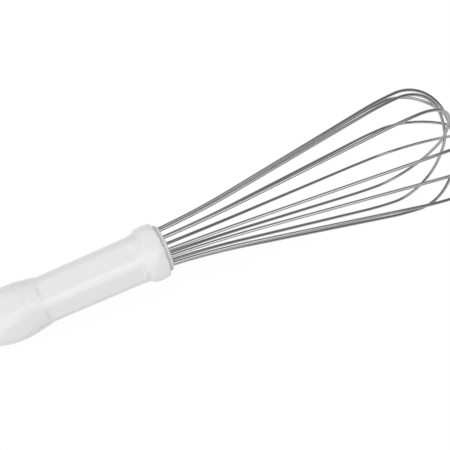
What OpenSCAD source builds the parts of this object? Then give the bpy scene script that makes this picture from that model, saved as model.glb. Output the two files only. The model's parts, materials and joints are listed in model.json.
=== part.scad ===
// Balloon whisk lying at rest: six steel wire loops held in a moulded six-sided grip.
// It is drawn with the handle's axis along X, the wires towards +X, and the origin at the
// centre of the collar's front edge. Then it is laid down as it rests on a table: on the
// butt of the handle and on the lowest wires. A turn is an angle round the handle's axis,
// measured from straight up (+Z) towards +Y.

/* [Wire cage] */
// diameter of the spring steel wire
wire_diameter = 1.6; // [1.2:0.1:1.8]
// from the collar's front edge to the outermost loop's centre line at the tip
cage_reach = 179.2; // [165:0.2:190]
// radius of the ring on which the wires leave the handle
exit_radius = 9.05; // [8.6:0.05:9.3]
// slope of the tails inside the handle and of the wires where they leave it
exit_slope = 4.4; // [3:0.1:5]
// radius of the slow outward sweep after the exit
flare_radius = 346; // [300:1:420]
// splay of the straight run of a wire
splay_angle = 11.4; // [10:0.1:12]
// radius of the slow inward sweep before the shoulder
belly_radius = 180; // [140:1:200]
// angle of that sweep
belly_turn = 6.3; // [5.5:0.1:7.5]
// radius of a loop's round shoulder
shoulder_radius = 26.6; // [26:0.1:29]
// angle of the shoulder
shoulder_turn = 80; // [78:0.5:81]
// least gap between two loops where they cross at the tip
crossing_gap = 0.3; // [0.2:0.05:0.6]
// lean of the whole cage away from the handle's axis
cage_lean = 2.3; // [0:0.1:2.6]
// length of each wire's tail inside the handle
tail_length = 30; // [25:1:33]

/* [Grip] */
// from the collar's front edge to the butt
handle_length = 126; // [118:1:140]
// radius of the grip's soft corners just behind the collar
neck_radius = 11.5; // [11:0.05:11.7]
// radius of the same corners at the waist
waist_radius = 10.65; // [10.1:0.05:10.9]
// rounding of the waist
waist_rounding = 9; // [5:0.5:12]
// how far each flat lies from the axis, as a share of the corner radius there
flat_share = 0.943; // [0.93:0.002:0.96]
// from the collar's bead to the front end of a flat
flat_start = 1.3; // [1:0.1:3]
// how far the flats run on behind the waist
flat_past_waist = 1.4; // [1:0.1:4]
// rounding at the rear end of a flat
flat_rear_rounding = 1.6; // [1:0.1:2.5]
// rounding at the front end of a flat
flat_front_rounding = 2.5; // [1.5:0.1:4]
// turn of the first of the six corners
grip_turn = 11.5; // [0:0.5:30]

/* [Palm swell and tail] */
// largest radius of the palm swell
swell_radius = 12.5; // [12.1:0.05:12.8]
// place of that crest behind the collar's front edge
swell_back = 68; // [66:0.5:70]
// radius of the crest seen from the side
swell_rounding = 28; // [24:1:30]
// slope of the swell's front
swell_front_slope = 9.5; // [9:0.5:12]
// slope of the swell's rear
swell_rear_slope = 19; // [16:0.5:22]
// how far the six lens-shaped flats of the swell lie from the axis
swell_flat_reach = 11.9; // [11.5:0.05:12.2]
// radius of the tail just behind the swell
tail_front_radius = 9; // [8.7:0.1:9.6]
// radius of the tail at the butt
butt_radius = 8.2; // [7.8:0.1:8.8]
// rounding where the swell runs into the tail
tail_rounding = 16; // [10:1:22]
// rounding of the butt
butt_rounding = 5.5; // [3:0.5:7]
// diameter of the hanging hole through the tail
hang_hole_diameter = 7; // [5:0.5:8]
// from the butt to the middle of the hanging hole
hang_hole_inset = 10.5; // [9:0.5:14]
// depth of the countersink at each mouth of the hole
hang_hole_bevel = 1.2; // [0.6:0.1:1.6]

/* [Collar] */
// largest radius of the collar's bead
bead_radius = 13.65; // [13.4:0.05:14]
// place of that crest behind the front edge
bead_back = 4.2; // [3.9:0.1:4.5]
// radius of the bead's crest seen from the side
bead_rounding = 11; // [9:0.5:12]
// slope of the bead's face at both ends of the crest
bead_end_slope = 17; // [14:1:20]
// how far the six lens-shaped flats of the collar lie from the axis
bead_flat_reach = 13.2; // [13:0.05:13.4]
// from the front edge to the foot of the bead's rear wall
bead_length = 9.3; // [8.9:0.1:9.7]
// length of the bead's rear wall along the axis
bead_rear_run = 1.2; // [0.8:0.1:1.4]
// length of the bead's front chamfer along the axis
bead_front_run = 0.5; // [0.3:0.1:0.7]
// rounding of the bead's shoulders
bead_shoulder_rounding = 1; // [0.5:0.1:1.2]
// outer radius of the collar's front edge
lip_radius = 11.75; // [11.6:0.05:12]

/* [Seal disc and inner pieces] */
// radius of the seat that the seal disc fills
seat_radius = 11.25; // [11:0.05:11.4]
// depth of that seat
seat_depth = 2.6; // [2:0.1:3.5]
// straight wall of the disc that stands out of the collar
seal_stand = 1.9; // [0.3:0.1:2.4]
// height of the disc's dome
seal_dome = 1.5; // [1:0.1:2.2]
// clearance between pieces that fit inside one another
seat_clearance = 0.1; // [0.05:0.05:0.15]
// radius at the rear of the cavity that holds the tails
cavity_rear_radius = 8.2; // [8.1:0.1:8.6]
// radius of the cavity just behind the seal disc
cavity_front_radius = 10; // [9.9:0.1:10.2]
// depth of the resin behind the ends of the tails
resin_heel = 4; // [2:0.5:6]
// how deep a tail lies in its flute of the core
flute_depth = 0.6; // [0.4:0.1:0.7]
// from the seal disc to the front edge of the steel band round the tails
band_back = 19; // [16:0.5:20]
// length of that band
band_length = 5; // [3:0.5:6]
// wall of that band
band_wall = 0.4; // [0.3:0.05:0.45]

/* [Hidden] */
$fn = 96;
// how far a cut runs past the surface that it opens
overrun = 1;
// half the width of a tool that cuts one flat
flat_tool_half = 9;
// the most of an edge that the roundings at its two ends may use
rounding_share = 0.98;
// sides of a wire, and rings along the bends of one leg
wire_sides = 12;
flare_steps = 4;
belly_steps = 3;
shoulder_steps = 12;
crown_steps = 4;

// turns of each loop's first and second leg
loop_turns = [[39, -144.5], [22.5, -171.5], [-11, 162], [-49, 133.5], [-70, 110], [-101.5, 72.5]];
// each loop's place in the nest at the tip, counted inwards from the outermost
loop_levels = [2, 4, 5, 3, 0, 1];
// each loop's splay as a share of the splay angle
splay_shares = [0.93, 0.948, 1.038, 1.078, 1.032, 0.956];
// how much the inner loops fall short, as a share of the cage's reach
drop_shares = [0.032, 0.0405, 0.041, 0.032, 0, 0.0105];
// turn towards which the cage leans
lean_turn = -120;

wire_radius = wire_diameter / 2;
wire_bore = wire_diameter + 2 * seat_clearance;
nest_step = wire_diameter + crossing_gap;
leg_turns = [for (pair = loop_turns) each pair];
flat_turns = [for (i = [0:5]) grip_turn + 30 + 60 * i];

// seal disc: a wall closed by a shallow dome
seal_radius = seat_radius - seat_clearance;
dome_radius = (seal_radius * seal_radius + seal_dome * seal_dome) / (2 * seal_dome);
dome_x = seal_stand + seal_dome - dome_radius;
exit_x = dome_x + sqrt(dome_radius * dome_radius - exit_radius * exit_radius);

// tails, and what holds them in the handle
tail_end_x = exit_x - tail_length * cos(exit_slope);
function tail_ring(x) = exit_radius - (exit_x - x) * tan(exit_slope);
core_front_x = -seat_depth - seat_clearance;
function core_radius(x) = tail_ring(x) - wire_radius + flute_depth;
band_front_x = -seat_depth - band_back;
band_rear_x = band_front_x - band_length;
function band_radius(x) = tail_ring(x) + wire_radius + seat_clearance;
cavity_rear_x = tail_end_x - resin_heel;
function cavity_radius(x) = cavity_rear_radius
    + (cavity_front_radius - cavity_rear_radius) * (x - cavity_rear_x) / (-seat_depth - cavity_rear_x);

// one leg seen in its own plane: a place is [along the axis, radius], a heading is its slope
function leg_splay(k) = splay_angle * splay_shares[k];
function leg_reach(k) = cage_reach * (1 - drop_shares[k]) - loop_levels[k] * nest_step;
function belly_end(k) = leg_splay(k) - belly_turn;
function shoulder_end(k) = belly_end(k) - shoulder_turn;
function crown_turn(k) = 90 + shoulder_end(k);
function inward(radius, from, to) = radius * [sin(from) - sin(to), cos(to) - cos(from)];
function exit_place() = [exit_x, exit_radius];
function flare_end(k) = exit_place() - inward(flare_radius, exit_slope, leg_splay(k));
function belly_shift(k) = inward(belly_radius, leg_splay(k), belly_end(k));
function shoulder_shift(k) = inward(shoulder_radius, belly_end(k), shoulder_end(k));
function bent_place(k) = flare_end(k) + belly_shift(k) + shoulder_shift(k);
function run_length(k) = (leg_reach(k) - bent_place(k)[0] - bent_place(k)[1] * tan(crown_turn(k) / 2))
    / (cos(leg_splay(k)) + sin(leg_splay(k)) * tan(crown_turn(k) / 2));
function run_end(k) = flare_end(k) + run_length(k) * [cos(leg_splay(k)), sin(leg_splay(k))];
function shoulder_start(k) = run_end(k) + belly_shift(k);
function crown_start(k) = shoulder_start(k) + shoulder_shift(k);
function crown_radius(k) = crown_start(k)[1] / sin(crown_turn(k));

// stations of a bend, as [place, heading]
function bend_stations(start, radius, from, to, steps, first, last) = [
    for (i = [first:last])
        let (heading = from + (to - from) * i / steps)
            [start + sign(from - to) * inward(radius, from, heading), heading]
];
function leg_stations(k) = concat(
    bend_stations(exit_place(), flare_radius, exit_slope, leg_splay(k), flare_steps, 1, flare_steps),
    bend_stations(run_end(k), belly_radius, leg_splay(k), belly_end(k), belly_steps, 0, belly_steps),
    bend_stations(
        shoulder_start(k), shoulder_radius, belly_end(k), shoulder_end(k), shoulder_steps, 1, shoulder_steps),
    bend_stations(crown_start(k), crown_radius(k), shoulder_end(k), -90, crown_steps, 1, crown_steps - 1)
);

// from a leg's plane into space, and the lean of the cage about the middle of the exit ring
function radial(turn) = [0, sin(turn), cos(turn)];
function in_space(place, turn) = [place[0], 0, 0] + place[1] * radial(turn);
function beside(turn) = cross([1, 0, 0], radial(turn));
function tilt(vector) = let (along = vector[0], across = vector * radial(lean_turn))
    vector
    + (along * (cos(cage_lean) - 1) - across * sin(cage_lean)) * [1, 0, 0]
    + (along * sin(cage_lean) + across * (cos(cage_lean) - 1)) * radial(lean_turn);
function leaned(place, turn) = [exit_x, 0, 0] + tilt(in_space(place - [exit_x, 0], turn));

// rings of the wire, as [centre, outward, sideways]
function tail_rings(turn) = let (
    exit = leaned(exit_place(), turn),
    outward = in_space([-sin(exit_slope), cos(exit_slope)], turn),
    forward = in_space([cos(exit_slope), sin(exit_slope)], turn)
) [[exit - tail_length * forward, outward, beside(turn)], [exit, outward, beside(turn)]];
function leg_rings(k, turn) = concat(
    tail_rings(turn),
    [for (station = leg_stations(k)) [
        leaned(station[0], turn),
        tilt(in_space([-sin(station[1]), cos(station[1])], turn)),
        tilt(beside(turn))
    ]]
);
function crown_ring(k) = let (sideways = beside(loop_turns[k][0]) - beside(loop_turns[k][1]))
    [leaned([leg_reach(k), 0], 0), tilt([1, 0, 0]), tilt(sideways / norm(sideways))];
function returned(rings) = [for (i = [len(rings) - 1:-1:0]) [rings[i][0], rings[i][1], -rings[i][2]]];
function loop_rings(k) = concat(
    leg_rings(k, loop_turns[k][0]),
    [crown_ring(k)],
    returned(leg_rings(k, loop_turns[k][1]))
);

// outline of the grip as [place along the axis, radius, rounding], counter-clockwise
swell_centre_radius = swell_radius - swell_rounding;
swell_vertex_tilt = (swell_front_slope - swell_rear_slope) / 2;
swell_vertex_reach = swell_rounding / cos((swell_front_slope + swell_rear_slope) / 2);
swell_vertex_x = -swell_back + swell_vertex_reach * sin(swell_vertex_tilt);
swell_vertex_radius = swell_centre_radius + swell_vertex_reach * cos(swell_vertex_tilt);
waist_x = swell_vertex_x + (swell_vertex_radius - waist_radius) / tan(swell_front_slope);
tail_x = swell_vertex_x - (swell_vertex_radius - tail_front_radius) / tan(swell_rear_slope);
bead_vertex_radius = bead_radius + bead_rounding * (1 / cos(bead_end_slope) - 1);
function bead_face(x) = bead_vertex_radius - abs(x + bead_back) * tan(bead_end_slope);
bead_rear_x = bead_rear_run - bead_length;
grip_outline = [
    [0, 0, 0],
    [0, lip_radius, 0],
    [-bead_front_run, bead_face(-bead_front_run), bead_shoulder_rounding],
    [-bead_back, bead_vertex_radius, bead_rounding],
    [bead_rear_x, bead_face(bead_rear_x), bead_shoulder_rounding],
    [-bead_length, neck_radius, bead_shoulder_rounding],
    [waist_x, waist_radius, waist_rounding],
    [swell_vertex_x, swell_vertex_radius, swell_rounding],
    [tail_x, tail_front_radius, tail_rounding],
    [-handle_length, butt_radius, butt_rounding],
    [-handle_length, 0, 0]
];

// outline of the tool that cuts one flat of the grip
flat_front_x = -bead_length - flat_start;
flat_rear_x = waist_x - flat_past_waist;
function flat_reach(x) = flat_share * (waist_radius
    + (neck_radius - waist_radius) * (x - waist_x) / (-bead_length - waist_x));
tool_reach = bead_radius + overrun;
flat_outline = [
    [flat_rear_x, flat_reach(flat_rear_x), flat_rear_rounding],
    [flat_front_x, flat_reach(flat_front_x), flat_front_rounding],
    [flat_front_x, tool_reach, 0],
    [flat_rear_x, tool_reach, 0]
];
hole_x = hang_hole_inset - handle_length;
hole_wall = butt_radius + (tail_front_radius - butt_radius) * hang_hole_inset / (tail_x + handle_length);

// how the whisk lies: nose up, by the angle at which butt or swell and a wire touch the table
wire_places = [for (k = [0:5]) for (ring = loop_rings(k)) ring[0]];
butt_centre = [butt_rounding - handle_length, 0, butt_rounding - butt_radius];
grip_feet = [[butt_centre, butt_rounding], [[-swell_back, 0, -swell_centre_radius], swell_rounding]];
function touch_pitch(place, foot) = let (span = place - foot[0])
    asin((wire_radius - foot[1]) / norm([span[0], span[2]])) - atan2(span[2], span[0]);
rest_pitch = min([for (foot = grip_feet) max([for (place = wire_places) touch_pitch(place, foot)])]);
function laid(place) = [
    place[0] * cos(rest_pitch) - place[2] * sin(rest_pitch),
    place[1],
    place[0] * sin(rest_pitch) + place[2] * cos(rest_pitch)
];
front_end = max([for (place = wire_places) laid(place)[0]]) + wire_radius;
rear_end = laid([butt_centre[0], 0, -butt_centre[2]])[0] - butt_rounding;
left_end = max([for (place = wire_places) place[1]]) + wire_radius;
right_end = min([for (place = wire_places) place[1]]) - wire_radius;
rest_height = max([for (foot = grip_feet) foot[1] - laid(foot[0])[2]]);
rest_place = [-(front_end + rear_end) / 2, -(left_end + right_end) / 2, rest_height];

// a closed outline whose corners carry their own rounding, smaller where two would meet; the
// piece that rounds a corner reaches as far past its two tangent points as the corner does
function spot(corner) = [corner[0], corner[1]];
function last_of(list, i) = list[(i + len(list) - 1) % len(list)];
function next_of(list, i) = list[(i + 1) % len(list)];
function toward(from, to) = (spot(to) - spot(from)) / norm(spot(to) - spot(from));
function half_corner(list, i) =
    acos(toward(list[i], last_of(list, i)) * toward(list[i], next_of(list, i))) / 2;
function asked_run(list, i) = list[i][2] / tan(half_corner(list, i));
function edge_fit(list, i, j) = rounding_share * norm(spot(list[i]) - spot(list[j]))
    / max(asked_run(list, i) + asked_run(list, j), rounding_share * norm(spot(list[i]) - spot(list[j])));
function corner_fit(list, i) = min(
    edge_fit(list, i, (i + 1) % len(list)),
    edge_fit(list, i, (i + len(list) - 1) % len(list)));
function rounding_at(list, i) = list[i][2] * corner_fit(list, i);
function run_at(list, i) = asked_run(list, i) * corner_fit(list, i);
function arc_start(list, i) = spot(list[i]) + run_at(list, i) * toward(list[i], last_of(list, i));
function arc_end(list, i) = spot(list[i]) + run_at(list, i) * toward(list[i], next_of(list, i));
function arc_centre(list, i) = let (
    bisector = toward(list[i], last_of(list, i)) + toward(list[i], next_of(list, i))
) spot(list[i]) + rounding_at(list, i) / sin(half_corner(list, i)) / norm(bisector) * bisector;
function stands_out(list, i) =
    cross(toward(last_of(list, i), list[i]), toward(list[i], next_of(list, i))) > 0;

module corner_piece(list, i) {
    intersection() {
        translate(arc_centre(list, i))
            circle(r = rounding_at(list, i));
        polygon([
            arc_start(list, i),
            spot(list[i]),
            arc_end(list, i),
            arc_start(list, i) + arc_end(list, i) - spot(list[i])
        ]);
    }
}

module soft_outline(list) {
    difference() {
        union() {
            polygon([for (i = [0:len(list) - 1])
                each list[i][2] > 0 ? [arc_start(list, i), arc_end(list, i)] : [spot(list[i])]]);
            for (i = [0:len(list) - 1])
                if (list[i][2] > 0 && stands_out(list, i))
                    corner_piece(list, i);
        }
        for (i = [0:len(list) - 1])
            if (list[i][2] > 0 && !stands_out(list, i))
                corner_piece(list, i);
    }
}

// turns the plane of an outline, along and out from the axis, to the given turn
module at_turn(turn) {
    rotate([90 - turn, 0, 0])
        children();
}

// spins an outline, along and out from the axis, round that axis
module spun() {
    rotate([0, 90, 0])
        rotate_extrude()
            mirror([1, -1, 0])
                children();
}

module taper(rear_x, front_x, rear_radius, front_radius) {
    translate([rear_x, 0, 0])
        rotate([0, 90, 0])
            cylinder(h = front_x - rear_x, r1 = rear_radius, r2 = front_radius);
}

module lay_down() {
    translate(rest_place)
        rotate([0, -rest_pitch, 0])
            children();
}

// six blocks that shave lens-shaped flats off a rounded swell or bead
module lens_flats(rear_x, front_x, reach) {
    for (turn = flat_turns)
        at_turn(turn)
            translate([rear_x, reach, -flat_tool_half])
                cube([front_x - rear_x, tool_reach, 2 * flat_tool_half]);
}

module grip_flats() {
    for (turn = flat_turns)
        at_turn(turn)
            linear_extrude(height = 2 * flat_tool_half, center = true)
                soft_outline(flat_outline);
}

module hang_hole() {
    translate([hole_x, 0, 0])
        rotate([90, 0, 0])
            cylinder(h = 2 * (butt_radius + tail_front_radius), d = hang_hole_diameter, center = true);
    for (side = [-90, 90])
        translate([hole_x, 0, 0])
            rotate([side, 0, 0])
                translate([0, 0, hole_wall - hang_hole_bevel])
                    cylinder(
                        h = hang_hole_bevel + overrun,
                        r1 = hang_hole_diameter / 2,
                        r2 = hang_hole_diameter / 2 + hang_hole_bevel + overrun);
}

// straight bores that the tails lie in, from their ends to just past the dome
module tail_bores() {
    for (turn = leg_turns)
        translate(leaned(exit_place(), turn))
            at_turn(turn)
                rotate([0, 0, exit_slope])
                    translate([-tail_length - seat_clearance, 0, 0])
                        rotate([0, 90, 0])
                            cylinder(h = tail_length + seat_clearance + overrun, d = wire_bore);
}

// a wire swept through its rings, closed by flat ends
module swept_wire(rings) {
    last = len(rings) - 1;
    points = [for (ring = rings) for (i = [0:wire_sides - 1])
        let (turn = 360 * (i + 0.5) / wire_sides)
            ring[0] + wire_radius * (cos(turn) * ring[1] + sin(turn) * ring[2])];
    walls = [for (r = [0:last - 1]) for (i = [0:wire_sides - 1])
        let (a = r * wire_sides + i, b = r * wire_sides + (i + 1) % wire_sides)
            each [[a, a + wire_sides, b], [b, a + wire_sides, b + wire_sides]]];
    rear_end = [for (i = [0:wire_sides - 1]) i];
    far_end = [for (i = [wire_sides - 1:-1:0]) last * wire_sides + i];
    polyhedron(points = points, faces = concat(walls, [rear_end, far_end]));
}

module wire_loop(k) {
    color([0.75, 0.76, 0.78])
        lay_down()
            swept_wire(loop_rings(k));
}

module handle_shell() {
    color([0.93, 0.93, 0.92])
        lay_down()
            difference() {
                spun()
                    soft_outline(grip_outline);
                grip_flats();
                lens_flats(tail_x, waist_x, swell_flat_reach);
                lens_flats(-bead_length, overrun, bead_flat_reach);
                taper(cavity_rear_x, -seat_depth, cavity_rear_radius, cavity_front_radius);
                taper(-seat_depth, overrun, seat_radius, seat_radius);
                hang_hole();
            }
}

module seal_disc() {
    color([0.84, 0.85, 0.86])
        lay_down()
            difference() {
                spun()
                    intersection() {
                        translate([-seat_depth, 0])
                            square([seat_depth + seal_stand + seal_dome + overrun, seal_radius]);
                        translate([dome_x, 0])
                            circle(r = dome_radius);
                    }
                tail_bores();
            }
}

module wire_core() {
    color([0.6, 0.62, 0.65])
        lay_down()
            difference() {
                taper(tail_end_x, core_front_x, core_radius(tail_end_x), core_radius(core_front_x));
                tail_bores();
            }
}

module tail_band() {
    color([0.7, 0.71, 0.73])
        lay_down()
            difference() {
                taper(
                    band_rear_x,
                    band_front_x,
                    band_radius(band_rear_x) + band_wall,
                    band_radius(band_front_x) + band_wall);
                taper(
                    band_rear_x - overrun,
                    band_front_x + overrun,
                    band_radius(band_rear_x - overrun),
                    band_radius(band_front_x + overrun));
            }
}

// the groove that the band and its clearance need in the resin
module band_groove() {
    rear_x = band_rear_x - seat_clearance;
    front_x = band_front_x + seat_clearance;
    difference() {
        taper(
            rear_x,
            front_x,
            band_radius(rear_x) + band_wall + seat_clearance,
            band_radius(front_x) + band_wall + seat_clearance);
        taper(
            rear_x - overrun,
            front_x + overrun,
            band_radius(rear_x - overrun) - seat_clearance,
            band_radius(front_x + overrun) - seat_clearance);
    }
}

module resin_fill() {
    color([0.86, 0.74, 0.45])
        lay_down()
            difference() {
                taper(
                    cavity_rear_x,
                    core_front_x,
                    cavity_radius(cavity_rear_x) - seat_clearance,
                    cavity_radius(core_front_x) - seat_clearance);
                taper(
                    tail_end_x - seat_clearance,
                    core_front_x + overrun,
                    core_radius(tail_end_x) + seat_clearance,
                    core_radius(core_front_x + overrun) + seat_clearance);
                tail_bores();
                band_groove();
            }
}

handle_shell();
seal_disc();
wire_core();
tail_band();
resin_fill();
wire_loop(0);  // wire_loop_1
wire_loop(1);  // wire_loop_2
wire_loop(2);  // wire_loop_3
wire_loop(3);  // wire_loop_4
wire_loop(4);  // wire_loop_5
wire_loop(5);  // wire_loop_6
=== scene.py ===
"""A balloon whisk at rest on a pale floor.

Six sprung steel loops are nested in a cage and held in a moulded six-sided grip. Sizes are in
millimetres along the handle's own axes: X runs along the handle towards the wires, from the
centre of the collar's front edge, and a turn is an angle round that axis, measured from straight
up towards +Y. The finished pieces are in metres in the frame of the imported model.
"""
import json
import logging
import math
from collections.abc import Sequence
from dataclasses import dataclass
from enum import Enum

import bmesh
import bpy
from bmesh.types import BMEdge, BMesh, BMVert
from bpy.types import ID, Material, Mesh, Node, NodeSocket, NodeTree, Object
from mathutils import Matrix, Vector


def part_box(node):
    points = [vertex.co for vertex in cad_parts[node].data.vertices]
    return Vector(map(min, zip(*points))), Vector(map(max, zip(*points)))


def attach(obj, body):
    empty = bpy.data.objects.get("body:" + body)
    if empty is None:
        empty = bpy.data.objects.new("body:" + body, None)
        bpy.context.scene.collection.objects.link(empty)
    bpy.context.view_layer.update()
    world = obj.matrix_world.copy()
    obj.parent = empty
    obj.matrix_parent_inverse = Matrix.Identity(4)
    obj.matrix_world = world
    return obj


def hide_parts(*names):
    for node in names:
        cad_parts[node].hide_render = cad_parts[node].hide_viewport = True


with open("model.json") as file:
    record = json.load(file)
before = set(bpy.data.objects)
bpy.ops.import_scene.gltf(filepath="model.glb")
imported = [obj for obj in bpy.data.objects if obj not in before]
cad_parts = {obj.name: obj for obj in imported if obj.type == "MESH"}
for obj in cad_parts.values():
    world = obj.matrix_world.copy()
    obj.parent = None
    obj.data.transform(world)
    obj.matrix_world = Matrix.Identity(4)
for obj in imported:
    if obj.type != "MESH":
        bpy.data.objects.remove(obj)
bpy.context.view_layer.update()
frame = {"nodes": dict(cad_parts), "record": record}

MM = 0.001
BODY = "root"
TOUCHING = 1e-5
SHARP_EDGE = math.radians(38)
WHITE = (1.0, 1.0, 1.0, 1.0)
log = logging.getLogger("whisk")


class Slot(Enum):
    """The record's material slots that the pieces take their finish from."""

    HANDLE = "handle_plastic"
    SEAL = "seal_plastic"
    WIRE = "wire_steel"
    CORE = "core_plastic"
    BAND = "band_steel"
    RESIN = "potting_resin"


class Field(Enum):
    """Vertex attributes that a finish reads."""

    WIRE_PLACE = "wire_place"
    RIDGE = "ridge"


def radial(turn: float) -> Vector:
    """Returns the unit vector that points out from the handle's axis at a turn in degrees."""
    return Vector((0.0, math.sin(math.radians(turn)), math.cos(math.radians(turn))))


def in_space(place: Vector, turn: float) -> Vector:
    """Returns the handle place of a point (along the axis, out from it) in the plane of a turn."""
    return Vector((place.x, 0.0, 0.0)) + place.y * radial(turn)


@dataclass(frozen=True)
class Lay:
    """How the whisk lies in the row frame: nose up, on its butt and its lowest wires.

    Args:
        front: Centre of the collar's front edge, in metres.
        pitch: Angle by which the nose is up, in radians.
    """

    front: Vector
    pitch: float

    @classmethod
    def from_frame(cls, hole_back: float, seal_middle: float) -> "Lay":
        """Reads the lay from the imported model.

        Args:
            hole_back: From the collar's front edge back to the hanging hole's middle.
            seal_middle: Middle of the seal disc's straight wall, along the axis.

        Returns:
            The lay at which the hole and the seal disc are where the frame has them.
        """
        hole = Vector(frame["record"]["mounts"][0]["pos_m"])
        low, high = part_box("seal_disc")
        rise = (low.z + high.z) / 2 - hole.z
        pitch = math.asin(rise / ((hole_back + seal_middle) * MM))
        along = Vector((math.cos(pitch), 0.0, math.sin(pitch)))
        return cls(hole + hole_back * MM * along, pitch)

    @property
    def turned(self) -> Matrix:
        """The rotation from the handle's axes to the row frame's."""
        return Matrix.Rotation(-self.pitch, 4, "Y")

    @property
    def matrix(self) -> Matrix:
        """The whole step from handle millimetres to row metres."""
        return Matrix.Translation(self.front) @ self.turned @ Matrix.Scale(MM, 4)


@dataclass(frozen=True)
class Corner:
    """One corner of an outline.

    Args:
        x: Place along the axis.
        radius: Distance from the axis.
        rounding: Radius of the arc that takes the corner's place, or zero.
    """

    x: float
    radius: float
    rounding: float = 0.0

    @property
    def spot(self) -> Vector:
        """The corner as a point."""
        return Vector((self.x, self.radius))


def rounded(corners: Sequence[Corner], arc_step: float) -> list[Vector]:
    """Turns an open outline of corners into points, with an arc at each rounded corner.

    Args:
        corners: The corners in order.
        arc_step: Largest angle between two points of an arc, in degrees.

    Returns:
        The points of the outline.
    """
    points = [corners[0].spot]
    for before, corner, after in zip(corners, corners[1:], corners[2:]):
        if corner.rounding == 0.0:
            points.append(corner.spot)
            continue
        back = (before.spot - corner.spot).normalized()
        ahead = (after.spot - corner.spot).normalized()
        half = back.angle(ahead) / 2
        centre = corner.spot + (back + ahead).normalized() * (corner.rounding / math.sin(half))
        start = corner.spot + back * (corner.rounding / math.tan(half)) - centre
        end = corner.spot + ahead * (corner.rounding / math.tan(half)) - centre
        sweep = start.angle_signed(end)
        steps = max(2, math.ceil(abs(math.degrees(sweep)) / arc_step))
        for step in range(steps + 1):
            arm = start.copy()
            arm.rotate(Matrix.Rotation(-sweep * step / steps, 2))
            points.append(centre + arm)
    points.append(corners[-1].spot)
    return points


def spun(points: Sequence[Vector], steps: int) -> BMesh:
    """Spins an outline round the handle's axis.

    Args:
        points: The outline, as places along the axis and out from it, both ends on the axis.
        steps: How many steps make the full round.

    Returns:
        A closed mesh in handle millimetres.
    """
    mesh = bmesh.new()
    spots = [mesh.verts.new((point.x, 0.0, point.y)) for point in points]
    edges = [mesh.edges.new(pair) for pair in zip(spots, spots[1:])]
    bmesh.ops.spin(
        mesh, geom=spots + edges, cent=(0, 0, 0), axis=(1, 0, 0), dvec=(0, 0, 0),
        angle=2 * math.pi, space=Matrix.Identity(4), steps=steps, use_merge=True,
        use_normal_flip=False, use_duplicate=False)
    bmesh.ops.remove_doubles(mesh, verts=mesh.verts, dist=TOUCHING)
    bmesh.ops.dissolve_degenerate(mesh, edges=mesh.edges, dist=TOUCHING)
    bmesh.ops.recalc_face_normals(mesh, faces=mesh.faces)
    return mesh


def as_data(mesh: BMesh, name: str) -> Mesh:
    """Turns a working mesh into mesh data, and frees it.

    Blender makes new faces in an order that changes from run to run, so all is sorted first:
    vertices by place, edges and faces by their vertices.

    Args:
        mesh: The working mesh.
        name: Name of the data.

    Returns:
        The data.
    """
    for items, order in ((mesh.verts, lambda vertex: tuple(vertex.co)),
                         (mesh.edges, lambda edge: sorted(end.index for end in edge.verts)),
                         (mesh.faces, lambda face: sorted(end.index for end in face.verts))):
        for rank, item in enumerate(sorted(items, key=order)):
            item.index = rank
        items.sort()
    data = bpy.data.meshes.new(name)
    mesh.to_mesh(data)
    mesh.free()
    return data


def placed(name: str, data: ID) -> Object:
    """Puts an object into the scene, at the origin.

    Args:
        name: Name of the object.
        data: Its mesh, lamp or camera.

    Returns:
        The object.
    """
    item = bpy.data.objects.new(name, data)
    bpy.context.scene.collection.objects.link(item)
    return item


def cut(piece: Object, tool: Object) -> None:
    """Cuts one piece with another, and throws the tool away.

    Args:
        piece: The piece that is cut.
        tool: A closed mesh.
    """
    modifier = piece.modifiers.new("cut", "BOOLEAN")
    modifier.operation = "DIFFERENCE"
    modifier.solver = "EXACT"
    modifier.object = tool
    evaluated = piece.evaluated_get(bpy.context.evaluated_depsgraph_get())
    data = bpy.data.meshes.new_from_object(evaluated)
    piece.modifiers.clear()
    old, piece.data = piece.data, data
    for spent in (old, tool.data):
        bpy.data.meshes.remove(spent)
    data.set_sharp_from_angle(angle=SHARP_EDGE)


@dataclass(frozen=True)
class NodeSheet:
    """A node tree with short calls that set up its nodes."""

    tree: NodeTree

    def node(self, node: Node | str, settings: dict | None = None, **inputs: object) -> Node:
        """Sets up a node.

        Args:
            node: The node, or the type name of a new one.
            settings: Properties of the node itself.
            inputs: Values or sockets for its inputs, by name with underscores for spaces, or by
                place as in1, in2 and so on.

        Returns:
            The node.
        """
        node = self.tree.nodes.new(node) if isinstance(node, str) else node
        for key, value in (settings or {}).items():
            setattr(node, key, value)
        for key, value in inputs.items():
            place = key.replace("_", " ")
            if key[:2] == "in" and key[2:].isdigit():
                place = int(key[2:])
            if isinstance(value, NodeSocket):
                self.tree.links.new(value, node.inputs[place])
            else:
                node.inputs[place].default_value = value
        return node

    def math(self, operation: str, first: object, second: object) -> NodeSocket:
        """Returns the result of a maths node on two values or sockets."""
        settings = {"operation": operation}
        return self.node("ShaderNodeMath", settings, in0=first, in1=second).outputs[0]

    def ramp(self, value: NodeSocket, source: tuple, target: tuple = (0.0, 1.0)) -> NodeSocket:
        """Returns a value mapped smoothly from one range to another, and held inside it."""
        return self.node(
            "ShaderNodeMapRange", {"interpolation_type": "SMOOTHSTEP"}, Value=value,
            From_Min=source[0], From_Max=source[1], To_Min=target[0], To_Max=target[1]).outputs[0]

    def tint(self, share: NodeSocket, first: tuple, second: tuple) -> NodeSocket:
        """Returns a mix of two colours by a share."""
        return self.node("ShaderNodeMix", {"data_type": "RGBA"}, in0=share, in6=(*first, 1.0),
                         in7=(*second, 1.0)).outputs[2]

    def noise(self, vector: NodeSocket, scale: object, detail: float,
              roughness: float = 0.5) -> NodeSocket:
        """Returns a noise value at a vector, with so many cells to a metre."""
        return self.node("ShaderNodeTexNoise", Vector=vector, Scale=scale, Detail=detail,
                         Roughness=roughness).outputs[0]


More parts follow.
